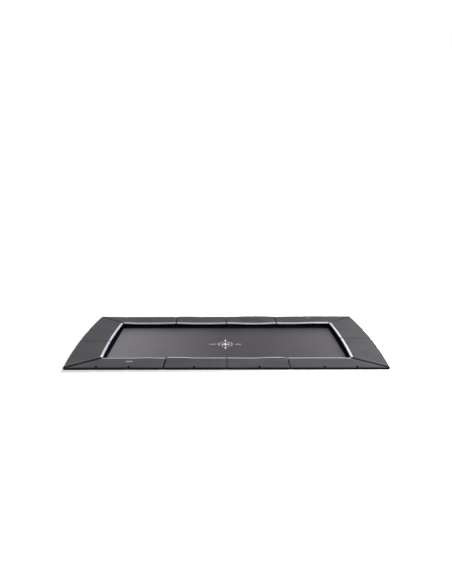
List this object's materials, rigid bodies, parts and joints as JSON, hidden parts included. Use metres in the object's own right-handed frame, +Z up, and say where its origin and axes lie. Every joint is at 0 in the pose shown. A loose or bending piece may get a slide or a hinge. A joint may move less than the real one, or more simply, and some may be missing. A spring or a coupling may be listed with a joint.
{
  "type": "trampoline",
  "caption": "Ground-level rectangular garden trampoline: sprung jumping mat in a low tube frame, with flat mitred padding and a pale inner border.",
  "frame": {"origin": "middle of the footprint, at the underside of the frame's feet; the padding's underside is ground level, 58 mm up", "axes": "+X to the right along the long side, +Y to the back, +Z up"},
  "size_m": [5.3298, 3.05, 0.0893],
  "materials": {
    "galvanised_frame": "hot-dip galvanised, satin",
    "zinc_fasteners": "zinc plated",
    "spring_steel": "dark plated spring wire",
    "pad_cover": "PVC-coated fabric, satin",
    "foam": "closed-cell polyethylene foam",
    "border_trim": "light grey coated fabric",
    "black_webbing": "woven polyester webbing",
    "jumping_mat": "woven polypropylene mesh"
  },
  "bodies": {
    "frame": {"back_right_corner_tube": "galvanised_frame", "back_left_corner_tube": "galvanised_frame", "front_left_corner_tube": "galvanised_frame", "front_right_corner_tube": "galvanised_frame", "front_left_rail": "galvanised_frame", "front_centre_rail": "galvanised_frame", "front_right_rail": "galvanised_frame", "back_left_rail": "galvanised_frame", "back_centre_rail": "galvanised_frame", "back_right_rail": "galvanised_frame", "right_end_rail": "galvanised_frame", "left_end_rail": "galvanised_frame", "joint_sleeves": "galvanised_frame", "joint_bolts": "zinc_fasteners", "joint_nuts": "zinc_fasteners", "anchor_feet": "galvanised_frame", "front_hook_tabs": "galvanised_frame", "right_hook_tabs": "galvanised_frame", "back_hook_tabs": "galvanised_frame", "left_hook_tabs": "galvanised_frame", "front_springs": "spring_steel", "right_springs": "spring_steel", "back_springs": "spring_steel", "left_springs": "spring_steel", "front_left_pad_cover": "pad_cover", "front_centre_pad_cover": "pad_cover", "front_right_pad_cover": "pad_cover", "back_left_pad_cover": "pad_cover", "back_centre_pad_cover": "pad_cover", "back_right_pad_cover": "pad_cover", "right_end_pad_cover": "pad_cover", "left_end_pad_cover": "pad_cover", "front_left_pad_foam": "foam", "front_centre_pad_foam": "foam", "front_right_pad_foam": "foam", "back_left_pad_foam": "foam", "back_centre_pad_foam": "foam", "back_right_pad_foam": "foam", "right_end_pad_foam": "foam", "left_end_pad_foam": "foam", "front_left_pad_trim": "border_trim", "front_centre_pad_trim": "border_trim", "front_right_pad_trim": "border_trim", "back_left_pad_trim": "border_trim", "back_centre_pad_trim": "border_trim", "back_right_pad_trim": "border_trim", "right_end_pad_trim": "border_trim", "left_end_pad_trim": "border_trim", "front_pad_straps": "black_webbing", "right_pad_straps": "black_webbing", "back_pad_straps": "black_webbing", "left_pad_straps": "black_webbing"},
    "bed": {"jumping_mat": "jumping_mat", "edge_webbing": "black_webbing", "webbing_loops": "black_webbing", "v_rings": "spring_steel"}
  },
  "joints": [
    {"name": "bed_bounce", "type": "slide", "parent": "frame", "child": "bed", "axis": [0, 0, 1], "range_m": [-0.3, 0], "stiffness_N_per_m": 6000, "springref_m": 0.03, "deforming": ["front_springs", "right_springs", "back_springs", "left_springs"]}
  ]
}
